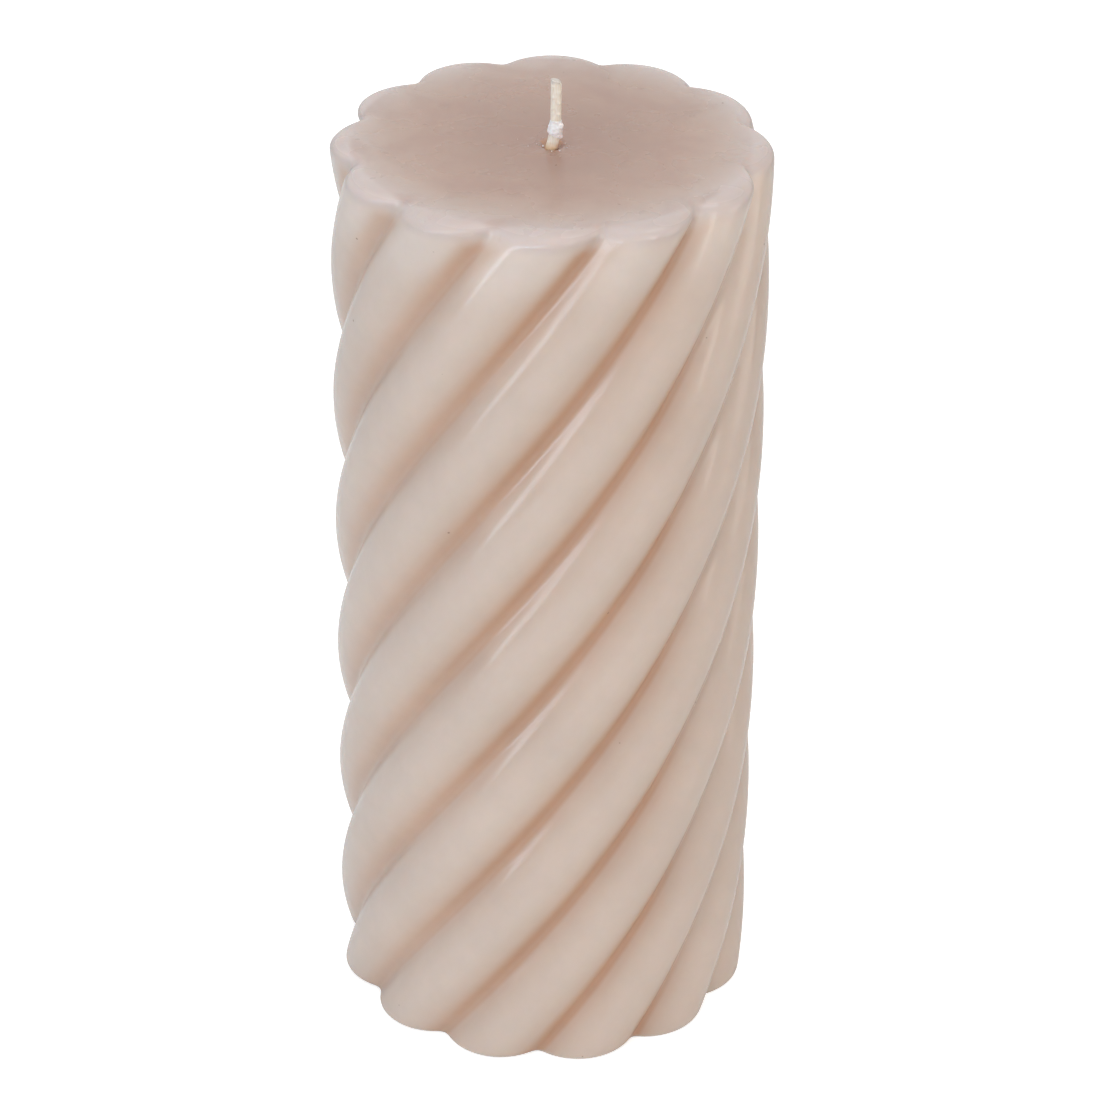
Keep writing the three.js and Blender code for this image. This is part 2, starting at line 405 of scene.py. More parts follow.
def cast_wax():
    """The pillar as one shell: up the lobes, over the top, down the bore and over the foot."""
    points = lobe_count * points_per_lobe
    drop_selection()
    bpy.ops.mesh.primitive_circle_add(vertices=points, radius=foot_radius, fill_type="NOTHING")
    wax = bpy.context.object
    edit(wax)
    bpy.ops.mesh.select_all(action="SELECT")
    turn(first_lobe_degrees - 90.0)
    scallop(wax, first_lobe_degrees)
    draw_in((foot_radius - foot_rim_width) / foot_radius)
    edge = {"radius": foot_radius - foot_rim_width, "height": 0.0, "middle": (0.0, 0.0)}
    raise_lobes(edge)
    close_top(edge)
    close_foot(wax, edge)
    bpy.ops.mesh.select_all(action="SELECT")
    bpy.ops.mesh.remove_doubles(threshold=0.01 * mm)
    stop_editing()
    face_outwards(wax)
    add_modifier(wax, "SUBSURF", levels=1, render_levels=1)
    ripples = bpy.data.textures.new("ripples_of_the_mould", "CLOUDS")
    ripples.noise_scale = ripple_spread
    ripples.noise_depth = 1
    ripples.contrast = 0.5
    add_modifier(
        wax, "DISPLACE", texture=ripples, texture_coords="LOCAL", strength=ripple_height,
        mid_level=0.5,
    )
    edit(wax)
    mesh = bmesh.from_edit_mesh(wax.data)
    select_points(wax, [v.index for v in mesh.verts if v.co.z < level_foot])
    bpy.ops.transform.resize(value=(1.0, 1.0, 0.0), center_override=(0.0, 0.0, 0.0))
    stop_editing()
    smooth(wax)
    return wax


def wick_middle(height):
    """Middle of the wick at a height over the top face: it leans right, then stands straight."""
    if height < 0.0:
        share = 1.0 + height / pillar_height
        return Vector((wick_exit.x * share, wick_exit.y * share, height))
    share = min(1.0, height / stub_knee_height)
    return Vector((wick_exit.x + stub_lean * (1.0 - (1.0 - share) ** 2), wick_exit.y, height))


def lay_rod(path, radius, sides=16, depth=1.0):
    """A closed rod along points from low to high, enlarged, with the pillar's top at height 0."""
    drop_selection()
    bpy.ops.mesh.primitive_circle_add(
        vertices=sides, radius=radius * enlarged, fill_type="NGON", location=path[0] * enlarged
    )
    rod = bpy.context.object
    bpy.ops.object.transform_apply(location=True, rotation=True, scale=True)
    edit(rod)
    bpy.ops.mesh.select_all(action="SELECT")
    bpy.ops.transform.resize(value=(1.0, depth, 1.0), center_override=path[0] * enlarged)
    for here, after in zip(path, path[1:]):
        raise_edge((after - here) * enlarged)
    bpy.ops.mesh.select_all(action="SELECT")
    bpy.ops.mesh.normals_make_consistent(inside=False)
    stop_editing()
    return rod


def join(pieces):
    """Makes pieces one."""
    drop_selection()
    for piece in pieces:
        piece.select_set(True)
    bpy.context.view_layer.objects.active = pieces[0]
    if len(pieces) > 1:
        bpy.ops.object.join()
    return bpy.context.object


def fuse(pieces, grain, smoothing):
    """Joins enlarged pieces and melts them into one skin with an even grain."""
    fused = join(pieces)
    add_modifier(fused, "REMESH", mode="VOXEL", voxel_size=grain * enlarged)
    if smoothing:
        add_modifier(fused, "SMOOTH", factor=0.5, iterations=smoothing)
    return fused


def cut_off(piece, point, normal, fill=True):
    """Cuts a piece at a plane and clears what lies on the side that the normal points to."""
    edit(piece)
    bpy.ops.mesh.select_all(action="SELECT")
    bpy.ops.mesh.bisect(plane_co=point, plane_no=normal, use_fill=fill, clear_outer=True)
    stop_editing()


def shrink_into_place(piece):
    """Brings an enlarged piece to its size and up to the pillar's top, in its mesh."""
    edit(piece)
    bpy.ops.mesh.select_all(action="SELECT")
    bpy.ops.transform.resize(value=(1.0 / enlarged,) * 3, center_override=(0.0, 0.0, 0.0))
    bpy.ops.transform.translate(value=(0.0, 0.0, pillar_height))
    stop_editing()


def plait_strand(number):
    """One of the three strands, which swing past each other in flat eights."""
    steps = 142
    rise = (plait_end - plait_start) / steps
    path = []
    for step in range(steps + 1):
        height = plait_start + rise * step
        swing = 2 * math.pi * (height / plait_pitch + number / 3)
        sway = Vector((plait_sway_x * math.sin(swing), plait_sway_y * math.sin(2 * swing), 0.0))
        path.append(wick_middle(height) + sway)
    return lay_rod(path, yarn_radius, sides=10)


def plait_wick():
    """The plaited stub, snipped at a slant, and the plain rest of the wick down to the tab."""
    steps = 24
    rise = (plait_end - plait_start) / steps
    line = [wick_middle(plait_start + rise * step) for step in range(steps + 1)]
    core = lay_rod(line, core_radius, depth=core_depth)
    wick = fuse([core] + [plait_strand(number) for number in range(3)], wick_grain, 8)
    tip = wick_middle(stub_height) * enlarged
    slant = math.radians(tip_slant_degrees)
    shoulder = math.radians(tip_shoulder_degrees)
    cut_off(wick, tip, (math.sin(slant), 0.0, math.cos(slant)))
    corner = tip + tip_shoulder * enlarged
    cut_off(wick, corner, (math.sin(shoulder), 0.0, math.cos(shoulder)))
    wick = fuse([wick], fine_grain, 2)
    edit(wick)
    mesh = bmesh.from_edit_mesh(wick.data)
    foot = [v.index for v in mesh.verts if foot_from < v.co.z / enlarged < foot_to]
    select_points(wick, foot)
    bpy.ops.transform.resize(
        value=(foot_swelling, 1.0, 1.0), center_override=wick_middle(mm) * enlarged
    )
    stop_editing()
    start = plait_start + plait_trim
    cut_off(wick, (0.0, 0.0, start * enlarged), (0.0, 0.0, -1.0), fill=False)
    shrink_into_place(wick)
    edit(wick)
    bpy.ops.mesh.select_all(action="DESELECT")
    bpy.ops.mesh.select_non_manifold()
    lower_steps = 12
    drop = (pillar_height + start - wick_foot_height) / lower_steps
    for step in range(lower_steps):
        here = wick_middle(start - drop * step)
        raise_edge(wick_middle(start - drop * (step + 1)) - here)
    bpy.ops.mesh.edge_face_add()
    stop_editing()
    face_outwards(wick)
    smooth(wick)
    return wick


def place_lump(right, back, height, radius, stretch):
    """An enlarged round lump of wax beside the wick's middle."""
    drop_selection()
    middle = wick_middle(height) + Vector((right, back, 0.0))
    bpy.ops.mesh.primitive_ico_sphere_add(
        subdivisions=3, radius=radius * enlarged, location=middle * enlarged,
        scale=(1.0, 1.0, stretch),
    )
    bpy.ops.object.transform_apply(location=True, rotation=True, scale=True)
    return bpy.context.object


def press_crust():
    """The ragged crust of pale wax that hugs the stub just over the pit."""
    drop_selection()
    start = wick_middle(crust_low) * enlarged
    bpy.ops.mesh.primitive_circle_add(
        vertices=28, radius=crust_foot_radius * enlarged, fill_type="NGON", location=start
    )
    sleeve = bpy.context.object
    bpy.ops.object.transform_apply(location=True, rotation=True, scale=True)
    edit(sleeve)
    bpy.ops.mesh.select_all(action="SELECT")
    height, radius = crust_low, crust_foot_radius
    for share, wider in crust_outline:
        above = crust_low + (crust_high - crust_low) * share
        raise_edge((wick_middle(above) - wick_middle(height)) * enlarged)
        bpy.ops.transform.resize(
            value=(wider * mm / radius, wider * mm / radius, 1.0),
            center_override=wick_middle(above) * enlarged,
        )
        height, radius = above, wider * mm
    bpy.ops.mesh.select_all(action="SELECT")
    bpy.ops.mesh.normals_make_consistent(inside=False)
    bpy.ops.transform.resize(value=(1.0, crust_depth, 1.0), center_override=start)
    stop_editing()
    slant = math.radians(crust_slant_degrees)
    crossing = wick_middle(crust_slant_height) * enlarged
    cut_off(sleeve, crossing, (-math.sin(slant), 0.0, -math.cos(slant)))
    lumps = [
        place_lump(right * mm, back * mm, above * mm, lump_radius * mm, stretch)
        for right, back, above, lump_radius, stretch in crust_lumps
    ]
    crust = fuse([sleeve] + lumps, wick_grain, 2)
    for scale, strength in crumbles:
        crumble = bpy.data.textures.new("crumble", "CLOUDS")
        crumble.noise_scale = scale * mm
        crumble.noise_depth = 2
        add_modifier(
            crust, "DISPLACE", texture=crumble, texture_coords="LOCAL",
            strength=strength * mm * enlarged, mid_level=0.55,
        )
    crust = fuse([crust], fine_grain, 2)
    line = [wick_middle(height * mm) for height in (0.0, 1.0, 2.0, 3.0, 4.0, 5.0, 7.0)]
    depth = wick_thickness / wick_width
    room = lay_rod(line, wick_width / 2 - crust_bite, sides=24, depth=depth)
    add_modifier(crust, "BOOLEAN", object=room, operation="DIFFERENCE", solver="EXACT")
    bpy.data.objects.remove(room)
    shrink_into_place(crust)
    smooth(crust)
    return crust


def scatter_crumbs():
    """Crumbs of wax about the pit, each a copy of one chip, turned and sized its own way."""
    drop_selection()
    bpy.ops.mesh.primitive_ico_sphere_add(subdivisions=2, radius=chip_radius)
    chip = bpy.context.object
    chips = bpy.data.textures.new("chip", "CLOUDS")
    chips.noise_scale = chip_grain
    add_modifier(
        chip, "DISPLACE", texture=chips, texture_coords="LOCAL", strength=chip_roughness,
        mid_level=0.5,
    )
    draw = random.Random(12)
    crumbs = []
    for number in range(crumb_count):
        bearing = draw.choice((math.pi, 0.0)) + draw.gauss(0.0, crumb_fan)
        away = near_crumbs + abs(draw.gauss(0.0, crumb_spread))
        size = draw.uniform(0.35, 1.05) * (1.0 if away < far_crumbs else 0.6)
        crumb = chip.copy()
        crumb.data = chip.data.copy()
        bpy.context.scene.collection.objects.link(crumb)
        crumb.rotation_euler = [draw.uniform(0.0, 6.28) for axis in range(3)]
        crumb.scale = (size * draw.uniform(0.8, 1.7), size, size * draw.uniform(0.4, 0.8))
        spot = pit_centre.xy + Vector((math.cos(bearing), math.sin(bearing))) * away
        crumb.location = (spot.x, spot.y, pillar_height - crumb_sink)
        if number == 0:
            crumb.location = big_crumb
            crumb.scale = big_crumb_size
        crumbs.append(crumb)
    bpy.data.objects.remove(chip)
    return join(crumbs)


def stamp_tab():
    """The tin tab: a thin disc with a pressed bead, drawn up into a neck pinched on the wick."""
    drop_selection()
    base = tab_low.z
    inset_radius = tab_radius - 0.02 * mm
    bpy.ops.mesh.primitive_circle_add(
        vertices=tab_sides, radius=inset_radius, fill_type="NOTHING", location=(0.0, 0.0, base)
    )
    tab = bpy.context.object
    bpy.ops.object.transform_apply(location=True, rotation=True, scale=True)
    edit(tab)
    bpy.ops.mesh.select_all(action="SELECT")
    edge = {"radius": inset_radius, "height": base, "middle": (0.0, 0.0)}
    inner, outer = neck_inner, neck_outer
    top = tab_high.z
    sheet = base + tab_sheet
    upper = [
        (tab_radius, base + cut_edge), (tab_radius, sheet - cut_edge),
        (tab_radius - cut_edge, sheet),
    ]
    upper += [(radius * mm, sheet + rise * mm) for radius, rise in bead_over]
    upper += [
        (4.0 * mm, sheet), (outer + neck_fillet, sheet), (outer + 0.4 * mm, sheet + 0.11 * mm),
        (outer + 0.11 * mm, sheet + 0.4 * mm), (outer, sheet + neck_fillet),
    ]
    straight = (top - sheet - neck_fillet - cut_edge) / neck_steps
    upper += [(outer, sheet + neck_fillet + straight * step) for step in range(1, neck_steps + 1)]
    lower = [(outer - cut_edge, top), (inner + cut_edge, top)]
    lower += [(inner, top - cut_edge - straight * step) for step in range(neck_steps + 1)]
    lower += [
        (inner + 0.13 * mm, sheet + 0.3 * mm), (inner + 0.45 * mm, base + 0.12 * mm),
        (inner + 1.1 * mm, base), (4.0 * mm, base),
    ]
    lower += [(radius * mm, base + rise * mm) for radius, rise in bead_under]
    lower += [(inset_radius, base)]
    for radius, height in upper + lower:
        lead_edge(edge, radius, height)
    bpy.ops.mesh.select_all(action="SELECT")
    bpy.ops.mesh.remove_doubles(threshold=0.005 * mm)
    pinch_neck(tab, top)
    stop_editing()
    face_outwards(tab)
    pick(tab)
    bpy.ops.object.shade_smooth_by_angle(angle=math.radians(40.0))
    return tab


def pinch_neck(tab, top):
    """Squeezes the upper part of the neck from front and back, ring by ring."""
    mesh = bmesh.from_edit_mesh(tab.data)
    rings = {}
    for v in mesh.verts:
        in_neck = math.hypot(v.co.x, v.co.y) < neck_outer + 0.01 * mm
        if in_neck and v.co.z > top - pinch_height:
            rings.setdefault(round(v.co.z / (0.01 * mm)), []).append(v.index)
    for level, members in rings.items():
        half = pinch_height / 2
        share = min(1.0, abs(level * 0.01 * mm - (top - half)) / half)
        squeeze = 1.0 - pinch_share * math.cos(share * math.pi / 2) ** 2
        select_points(tab, members)
        bpy.ops.transform.resize(value=(1.0, squeeze, 1.0), center_override=(0.0, 0.0, 0.0))


class Finish:
    """A material built with helpers named by what they give."""

    def __init__(self, name):
        self.material = bpy.data.materials.new(name)
        self.material.use_nodes = True
        self.tree = self.material.node_tree
        self.shader = self.tree.nodes["Principled BSDF"]
        self.place = self.add("ShaderNodeTexCoord").outputs["Object"]

    def add(self, kind, inputs=(), **settings):
        made = self.tree.nodes.new(kind)
        for name, value in settings.items():
            setattr(made, name, value)
        for socket, value in dict(inputs).items():
            self.feed(made.inputs[socket], value)
        return made

    def feed(self, socket, value):
        if isinstance(value, bpy.types.NodeSocket):
            self.tree.links.new(value, socket)
        else:
            socket.default_value = value

    def sum(self, kind, first, second=0.0, third=0.0, clamp=False):
        made = self.add(
            "ShaderNodeMath", {0: first, 1: second, 2: third}, operation=kind, use_clamp=clamp
        )
        return made.outputs[0]

    def share(self, value, low, high, to_low=0.0, to_high=1.0, soft=True):
        """Where a value lies between two others, from 0 to 1 or between two given results."""
        made = self.add(
            "ShaderNodeMapRange",
            {
                "Value": value, "From Min": low, "From Max": high,
                "To Min": to_low, "To Max": to_high,
            },
            interpolation_type="SMOOTHSTEP" if soft else "LINEAR",
        )
        return made.outputs["Result"]

    def blend(self, share, first, second):
        """Mixes two colours."""
        made = self.add("ShaderNodeMix", data_type="RGBA")
        self.feed(made.inputs[0], share)
        self.feed(made.inputs[6], first)
        self.feed(made.inputs[7], second)
        return made.outputs[2]

    def steps(self, share, tints):
        """A colour that goes through several tints as a share rises."""
        ramp = self.add("ShaderNodeValToRGB", {"Fac": share})
        stops = ramp.color_ramp.elements
        while len(stops) < len(tints):
            stops.new(0.5)
        for stop, (position, tint) in zip(stops, tints):
            stop.position = position
            stop.color = tint + (1.0,)
        return ramp.outputs["Color"]

    def vector(self, kind, first, second=(0.0, 0.0, 0.0)):
        made = self.add("ShaderNodeVectorMath", {0: first, 1: second}, operation=kind)
        return made.outputs["Value" if kind in ("LENGTH", "DISTANCE") else "Vector"]

    def noise(self, scale, detail=2.0, at=None, rough=0.5, warp=0.0):
        made = self.add(
            "ShaderNodeTexNoise",
            {
                "Vector": at or self.place, "Scale": scale, "Detail": detail,
                "Roughness": rough, "Distortion": warp,
            },
        )
        return made.outputs["Fac"]

    def bumps(self, height, distance, strength=1.0, under=None):
        made = self.add(
            "ShaderNodeBump", {"Height": height, "Distance": distance, "Strength": strength}
        )
        if under is not None:
            self.feed(made.inputs["Normal"], under)
        return made.outputs["Normal"]

    def stretched(self, x, y, z, at=None):
        made = self.add("ShaderNodeMapping", {"Vector": at or self.place, "Scale": (x, y, z)})
        return made.outputs["Vector"]

    def dress(self, inputs):
        """Sets inputs of the shader by name."""
        for name, value in inputs.items():
            self.feed(self.shader.inputs[name], value)


def colour(red, green, blue):
    """A colour given as on a screen, from 0 to 255."""
    shares = [c / 255 for c in (red, green, blue)]
    linear = [c / 12.92 if c <= 0.04045 else ((c + 0.055) / 1.055) ** 2.4 for c in shares]
    return tuple(linear) + (1.0,)


def tint_lobes(wax, x, y, z, radius, reach):
    """The side's colour: painted shade across each lobe, darkest in the grooves and fainter to the
    left and right where side lamps light them, and painted light as a paler band near the top.
    """
    under_rim = wax.share(z, pillar_height - 0.6 * mm, pillar_height - 4.4 * mm)
    over_foot = wax.share(z, 0.1 * mm, 0.9 * mm)
    bearing = wax.sum("MULTIPLY", wax.sum("ARCTAN2", y, x), lobe_count / (2 * math.pi))
    lead = wax.share(
        z, 0.0, pillar_height, first_lobe_degrees, first_lobe_degrees + swirl_degrees, soft=False
    )
    lead = wax.sum("MULTIPLY", lead, lobe_count / 360.0)
    across = wax.sum("FRACT", wax.sum("ADD", wax.sum("SUBTRACT", bearing, lead), 0.5))
    pitch = 360.0 / lobe_count
    # Painted shade across each lobe, darkest in the grooves
    lobe_shade = wax.steps(across, [(0.5 + degrees / pitch, tint) for degrees, tint in lobe_shade_tints])
    # The painted shade fades out to the right and halfway to the left, where side lamps light the
    # grooves
    rightwards = wax.sum("DIVIDE", x, radius)
    lit_by_side_lamps = wax.share(rightwards, 0.5, 0.9)
    lit_by_side_lamps = wax.sum("ADD", lit_by_side_lamps, wax.share(rightwards, -0.1, -1.0, 0.0, 0.5, soft=False))
    lobe_shade = wax.blend(lit_by_side_lamps, lobe_shade, crest_tint)
    side = wax.blend(wax.sum("MULTIPLY", under_rim, over_foot), crest_tint, lobe_shade)
    depth = wax.share(reach, 1.0, groove_reach, soft=False)
    unshaded = wax.sum("MAXIMUM", wax.share(depth, 0.7, 0.1), wax.sum("SUBTRACT", 1.0, under_rim))
    # Painted light: the side paler near the top and a pale rim, kept out of the painted shade of
    # the grooves
    lit_band = wax.share(z, pillar_height - 14.0 * mm, pillar_height - 5.0 * mm)
    lit_band = wax.sum("MULTIPLY", lit_band, wax.sum("MULTIPLY", unshaded, 0.8))
    to_rim = wax.share(z, pillar_height - 3.5 * mm, pillar_height - 1.0 * mm)
    return wax.blend(lit_band, side, wax.blend(to_rim, lit_band_tint, lit_rim_and_scrape_tint))


def mottle_wax(wax, cast, inwards):
    """Gives the wax a slow drift and a fine mottling, and faint clouds on the top."""
    drift = wax.share(wax.noise(42.0, 3.0), 0.25, 0.75, 0.97, 1.03)
    mottle = wax.share(wax.noise(260.0, 4.0, rough=0.6), 0.3, 0.7, 0.985, 1.015)
    shade = wax.sum("MULTIPLY", drift, mottle)
    clouds = wax.share(wax.noise(95.0, 4.0, rough=0.6, warp=0.6), 0.42, 0.68)
    cloudy = wax.sum("MULTIPLY", clouds, inwards)
    cast = wax.blend(wax.sum("MULTIPLY", cloudy, 0.3), cast, cloud_tint)
    shade = wax.add("ShaderNodeCombineXYZ", {"X": shade, "Y": shade, "Z": shade}).outputs[0]
    return wax.vector("MULTIPLY", cast, shade)


def redden_pit(wax, cast):
    """Warms the wax in the hollow round the wick, with a ragged edge."""
    from_hollow = wax.vector("DISTANCE", wax.place, tuple(pit_hollow))
    ragged = wax.share(wax.noise(900.0, 3.0), 0.3, 0.7, -0.35 * mm, 0.35 * mm)
    in_hollow = wax.share(wax.sum("ADD", from_hollow, ragged), 1.95 * mm, 1.5 * mm)
    return wax.blend(wax.sum("MULTIPLY", in_hollow, 0.85), cast, pit_tint)


def scrapes_beside_pit(wax):
    """Where short scrapes run out from the pit, to its left and right."""
    spread = wax.vector("SUBTRACT", wax.place, tuple(pit_centre))
    from_pit = wax.vector("LENGTH", spread)
    ray = wax.vector("NORMALIZE", spread)
    off_ray = wax.sum("ABSOLUTE", wax.sum("SUBTRACT", wax.noise(7.0, 3.0, at=ray), 0.5))
    past_edge = wax.share(from_pit, 1.9 * mm, 2.5 * mm)
    beside = wax.sum("MULTIPLY", past_edge, wax.share(from_pit, 6.0 * mm, 3.0 * mm))
    broken = wax.sum("MULTIPLY", beside, wax.share(wax.noise(520.0, 2.0), 0.48, 0.6))
    scraped = wax.sum("MULTIPLY", wax.share(off_ray, 0.05, 0.0), broken)
    sideways = wax.add("ShaderNodeSeparateXYZ", {0: ray}).outputs[0]
    sideways = wax.share(wax.sum("ABSOLUTE", sideways), 0.5, 0.9)
    return wax.sum("MULTIPLY", scraped, sideways)


def speckle(wax, cast):
    """Sets a few small dark specks in the wax."""
    cells = wax.add("ShaderNodeTexVoronoi", {"Vector": wax.place, "Scale": 210.0})
    chosen = wax.share(cells.outputs["Color"], 0.62, 0.63)
    speck = wax.sum("MULTIPLY", wax.share(cells.outputs["Distance"], 0.05, 0.026), chosen)
    return wax.blend(wax.sum("MULTIPLY", speck, 0.65), cast, speck_tint)


def roughen_skin(wax, z, reach, scraped):
    """Fine waves all over, creases and nicks near the top, and the scrapes by the pit."""
    normal = wax.bumps(wax.noise(240.0, 2.0), 0.05 * mm, 0.6)
    normal = wax.bumps(wax.noise(1900.0, 3.0, rough=0.6), 0.012 * mm, 0.5, normal)
    near_top = wax.share(z, pillar_height - 3.5 * mm, pillar_height - 1.5 * mm)
    flow = wax.noise(1.0, 5.0, at=wax.stretched(75.0, 230.0, 160.0), rough=0.55, warp=1.2)
    off_line = wax.sum("ABSOLUTE", wax.sum("SUBTRACT", flow, 0.5))
    patches = wax.share(wax.noise(70.0, 2.0), 0.5, 0.62)
    patches = wax.sum("MULTIPLY", patches, wax.share(reach, 0.15, 0.9, 0.25, 1.0))
    creases = wax.sum("MULTIPLY", wax.share(off_line, 0.02, 0.0), patches)
    creases = wax.sum("MULTIPLY", creases, near_top)
    normal = wax.bumps(creases, -0.04 * mm, 0.55, normal)
    nicks = wax.add(
        "ShaderNodeTexVoronoi", {"Vector": wax.stretched(190.0, 260.0, 190.0), "Scale": 1.0}
    ).outputs["Distance"]
    nicks = wax.sum("ADD", nicks, wax.share(wax.noise(800.0, 3.0), 0.2, 0.8, -0.16, 0.16))
    nicks = wax.sum("MULTIPLY", wax.share(nicks, 0.22, 0.02), near_top)
    normal = wax.bumps(nicks, -0.06 * mm, 0.7, normal)
    return wax.bumps(scraped, 0.03 * mm, 0.7, normal)


def blush_wax():
    """Pale blush wax, with painted shade in the grooves and the middle of the top, painted light
    as a paler band and rim, and a few specks.
    """
    wax = Finish("blush_wax")
    x, y, z = wax.add("ShaderNodeSeparateXYZ", {0: wax.place}).outputs
    flat = wax.add("ShaderNodeCombineXYZ", {"X": x, "Y": y}).outputs[0]
    outer = wax.share(z, 0.0, pillar_height, foot_radius, top_radius, soft=False)
    radius = wax.vector("LENGTH", flat)
    reach = wax.sum("DIVIDE", radius, outer)
    inwards = wax.share(reach, groove_reach + 0.003, groove_reach - 0.03)
    side = tint_lobes(wax, x, y, z, radius, reach)
    # Painted shade on the top: darker in the middle, paler towards the rim
    cast = wax.blend(inwards, side, wax.steps(reach, top_shade_tints))
    cast = redden_pit(wax, mottle_wax(wax, cast, inwards))
    scraped = scrapes_beside_pit(wax)
    cast = wax.blend(wax.sum("MULTIPLY", scraped, 0.35), cast, lit_rim_and_scrape_tint)
    on_top = wax.share(z, pillar_height - 1.2 * mm, pillar_height - 0.4 * mm)
    gloss = wax.share(wax.noise(95.0, 3.0), 0.3, 0.7, 0.13, 0.18)
    wax.dress({
        "Base Color": speckle(wax, cast),
        "Roughness": wax.sum("MULTIPLY_ADD", on_top, 0.12, gloss),
        "Normal": roughen_skin(wax, z, reach, scraped),
        "IOR": 1.44,
        "Subsurface Weight": 0.4,
        "Subsurface Radius": (1.0, 0.5, 0.3),
        "Subsurface Scale": 3.0 * mm,
    })
    return wax.material


def waxed_cotton():
    """Cream cotton yarn soaked in wax, yellower in the pit and greyer where it is snipped."""
    cotton = Finish("waxed_cotton")
    z = cotton.add("ShaderNodeSeparateXYZ", {0: cotton.place}).outputs["Z"]
    fibres = cotton.noise(1.0, 3.0, at=cotton.stretched(8000.0, 8000.0, 700.0))
    yarn = cotton.blend(
        cotton.share(fibres, 0.35, 0.65), colour(231, 219, 202), colour(244, 237, 226)
    )
    soaked = cotton.share(z, pillar_height + 1.1 * mm, pillar_height - 0.1 * mm)
    yarn = cotton.blend(soaked, yarn, colour(222, 192, 156))
    tip = pillar_height + stub_height
    snipped = cotton.share(z, tip - 0.7 * mm, tip, 0.0, 0.75)
    yarn = cotton.blend(snipped, yarn, colour(196, 188, 181))
    cotton.dress({
        "Base Color": yarn,
        "Roughness": cotton.share(fibres, 0.3, 0.7, 0.5, 0.72),
        "Normal": cotton.bumps(fibres, 0.03 * mm, 0.4),
        "Subsurface Weight": 0.35,
        "Subsurface Radius": (1.0, 0.8, 0.6),
        "Subsurface Scale": 0.4 * mm,
    })
    return cotton.material


def crumbly_wax(name="crumbly_wax"):
    """Whitish broken wax with a lilac cast in its hollows, painted shade that follows the low
    parts of its grain.
    """
    crumbs = Finish(name)
    grain = crumbs.noise(3600.0, 4.0, rough=0.65)
    # Painted shade: darker and lilac where the grain's bumps lie low
    tint = crumbs.share(grain, 0.35, 0.65)
    crumbs.dress({
        "Base Color": crumbs.blend(tint, colour(236, 228, 230), colour(251, 247, 246)),
        "Roughness": crumbs.share(grain, 0.3, 0.7, 0.42, 0.62),
        "Normal": crumbs.bumps(grain, 0.03 * mm, 0.5),
        "Subsurface Weight": 0.5,
        "Subsurface Radius": (1.0, 0.7, 0.6),
        "Subsurface Scale": 0.3 * mm,
    })
    return crumbs.material


def tinned_sheet():
    """Thin tinned steel with the rolling grain across the tab and faint scuffs."""
    tin = Finish("tinned_sheet")
    grain = tin.noise(1.0, 3.0, at=tin.stretched(600.0, 9000.0, 9000.0))
    scuffs = tin.noise(700.0, 4.0, rough=0.7)
    dulled = tin.share(scuffs, 0.4, 0.7)
    tin.dress({
        "Base Color": tin.blend(dulled, colour(214, 214, 212), colour(176, 176, 175)),
        "Metallic": 1.0,
        "Roughness": tin.share(scuffs, 0.3, 0.7, 0.26, 0.46),
        "Normal": tin.bumps(grain, 0.01 * mm, 0.6),
    })
    return tin.material


def lay_floor():
    """A plain pale floor that shows white and takes the candle's soft shadow."""
    drop_selection()
    bpy.ops.mesh.primitive_plane_add(size=6.0)
    floor = bpy.context.object
    floor.name = "floor"
    matte = Finish("floor_matte")
    matte.dress({
        "Base Color": (0.86, 0.86, 0.86, 1.0), "Roughness": 0.9, "Specular IOR Level": 0.0
    })
    rays = matte.add("ShaderNodeLightPath").outputs
    seen = matte.sum("MULTIPLY_ADD", rays["Is Glossy Ray"], 0.15, rays["Is Camera Ray"])
    seen = matte.sum("ADD", seen, rays["Is Transmission Ray"], clamp=True)
    white = matte.add("ShaderNodeEmission", {"Color": (1.0, 1.0, 1.0, 1.0)})
    matte.feed(white.inputs["Strength"], matte.sum("MULTIPLY", seen, 0.6))
    both = matte.add("ShaderNodeAddShader", {0: matte.shader.outputs[0], 1: white.outputs[0]})
    matte.feed(matte.tree.nodes["Material Output"].inputs["Surface"], both.outputs[0])
    floor.data.materials.append(matte.material)


def light_world():
    """Soft light from all round, and white where it is looked at or mirrored."""
    world = bpy.data.worlds.new("white_room")
    bpy.context.scene.world = world
    world.use_nodes = True
    tree = world.node_tree
    soft = tree.nodes["Background"]
    soft.inputs["Color"].default_value = (1.0, 1.0, 1.0, 1.0)
    soft.inputs["Strength"].default_value = world_light
    white = tree.nodes.new("ShaderNodeBackground")
    white.inputs["Color"].default_value = (1.0, 1.0, 1.0, 1.0)
    rays = tree.nodes.new("ShaderNodeLightPath")
    seen = rays.outputs["Is Camera Ray"]
    for kind in ("Is Glossy Ray", "Is Transmission Ray"):
        either = tree.nodes.new("ShaderNodeMath")
        either.operation = "MAXIMUM"
        tree.links.new(seen, either.inputs[0])
        tree.links.new(rays.outputs[kind], either.inputs[1])
        seen = either.outputs[0]
    mix = tree.nodes.new("ShaderNodeMixShader")
    tree.links.new(seen, mix.inputs["Fac"])
    tree.links.new(soft.outputs[0], mix.inputs[1])
    tree.links.new(white.outputs[0], mix.inputs[2])
    tree.links.new(mix.outputs[0], tree.nodes["World Output"].inputs["Surface"])


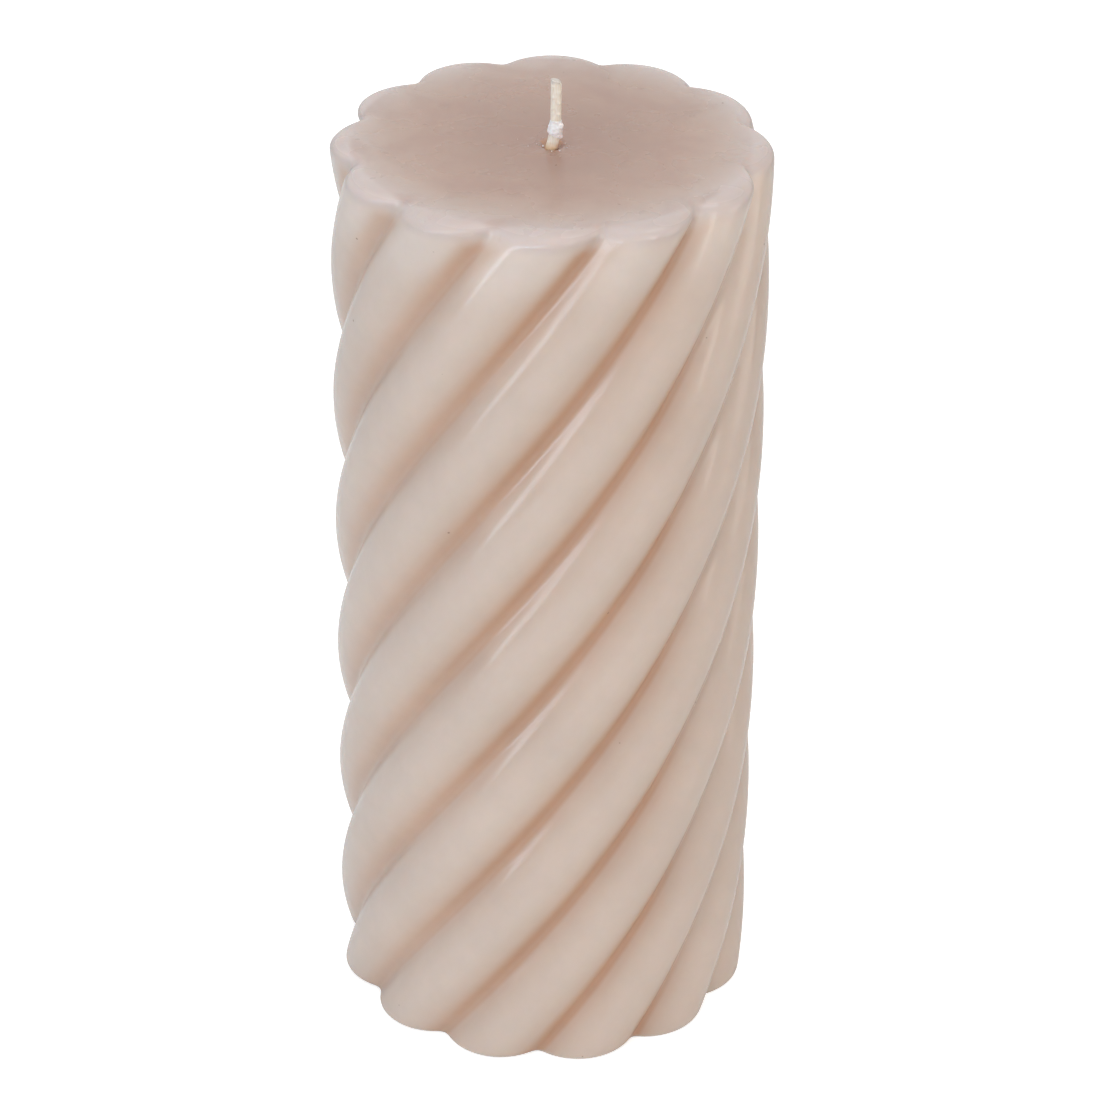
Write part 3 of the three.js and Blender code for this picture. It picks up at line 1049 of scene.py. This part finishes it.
def hang_lamp(name, place, size, power, tint=(1.0, 1.0, 1.0), mirrored=True, lean=0.0):
    """A soft box that faces the candle's middle, hung at an azimuth, an elevation and a distance.

    Azimuth 0 is in front, and 90 is on the right. Where mirrored is false, the box doesn't show
    in glossy surfaces. It is turned in its own plane by lean, in degrees.
    """
    azimuth, elevation, distance = place
    turn_by, tilt = math.radians(azimuth), math.radians(elevation)
    level = Vector((math.sin(turn_by), -math.cos(turn_by), 0.0))
    away = level * math.cos(tilt) + Vector((0.0, 0.0, math.sin(tilt)))
    lamp = bpy.data.lights.new(name, "AREA")
    lamp.shape = "RECTANGLE"
    lamp.size, lamp.size_y = size
    lamp.energy = power
    lamp.color = tint
    holder = bpy.data.objects.new(name, lamp)
    bpy.context.scene.collection.objects.link(holder)
    holder.location = Vector((0.0, 0.0, 0.5 * pillar_height)) + away * distance
    leaned = Quaternion((0.0, 0.0, 1.0), math.radians(lean))
    holder.rotation_euler = (away.to_track_quat("Z", "Y") @ leaned).to_euler()
    holder.visible_glossy = mirrored


def light_candle():
    """Broad boxes that only light, and narrow ones that also leave a streak on the wax."""
    hang_lamp("left_box", (-60.0, 24.0, 0.9), (0.7, 0.85), 0.85, (0.97, 0.985, 1.0), False)
    hang_lamp("left_strip", (-44.0, 12.0, 0.9), (1.15, 0.11), 1.75, (0.70, 0.85, 1.0), lean=26.0)
    hang_lamp("left_pane", (-34.0, 27.0, 0.9), (0.75, 0.34), 1.1, (0.70, 0.85, 1.0), lean=24.0)
    hang_lamp("front_box", (6.0, 24.0, 1.0), (0.8, 0.5), 2.02, (1.0, 0.962, 0.905), False)
    hang_lamp("right_box", (80.0, 9.0, 0.9), (0.4, 0.5), 1.02, (1.0, 0.93, 0.85))
    hang_lamp("right_pane", (41.0, 23.0, 0.9), (0.13, 0.5), 0.72, (1.0, 0.94, 0.86))
    hang_lamp("right_high_box", (73.0, 67.0, 0.9), (0.22, 0.22), 0.45)
    hang_lamp("top_box", (-20.0, 83.0, 0.9), (0.6, 0.5), 4.0, mirrored=False)
    hang_lamp("back_box", (180.0, 22.0, 1.0), (0.9, 0.5), 2.2, mirrored=False)


def set_camera():
    """The camera of the photograph's view, a little turned about its own line of sight."""
    camera = bpy.data.cameras.new("camera")
    camera.sensor_width = 36.0
    camera.lens = camera_lens
    camera.clip_start = 0.02
    camera.clip_end = 30.0
    holder = bpy.data.objects.new("camera", camera)
    bpy.context.scene.collection.objects.link(holder)
    elevation, roll = math.radians(camera_elevation_degrees), math.radians(camera_roll_degrees)
    back = Vector((0.0, -math.cos(elevation), math.sin(elevation)))
    right = Vector((1.0, 0.0, 0.0))
    up = back.cross(right)
    across = right * math.cos(roll) + up * math.sin(roll)
    upright = up * math.cos(roll) - right * math.sin(roll)
    pose = Matrix((across, upright, back)).transposed().to_4x4()
    pose.translation = camera_target + back * camera_distance
    holder.matrix_world = pose
    bpy.context.scene.camera = holder


settle(cast_wax(), "wax_pillar", "wax_body", blush_wax())
settle(plait_wick(), "wick_plait", "wick", waxed_cotton())
settle(press_crust(), "wick_crust", "wick_wax_crust", crumbly_wax())
settle(scatter_crumbs(), "wax_crumbs", None, crumbly_wax("wax_crumb"))
settle(stamp_tab(), "wick_tab", "wick_sustainer", tinned_sheet())

lay_floor()
light_world()
light_candle()
set_camera()
bpy.context.scene.view_settings.view_transform = "Standard"
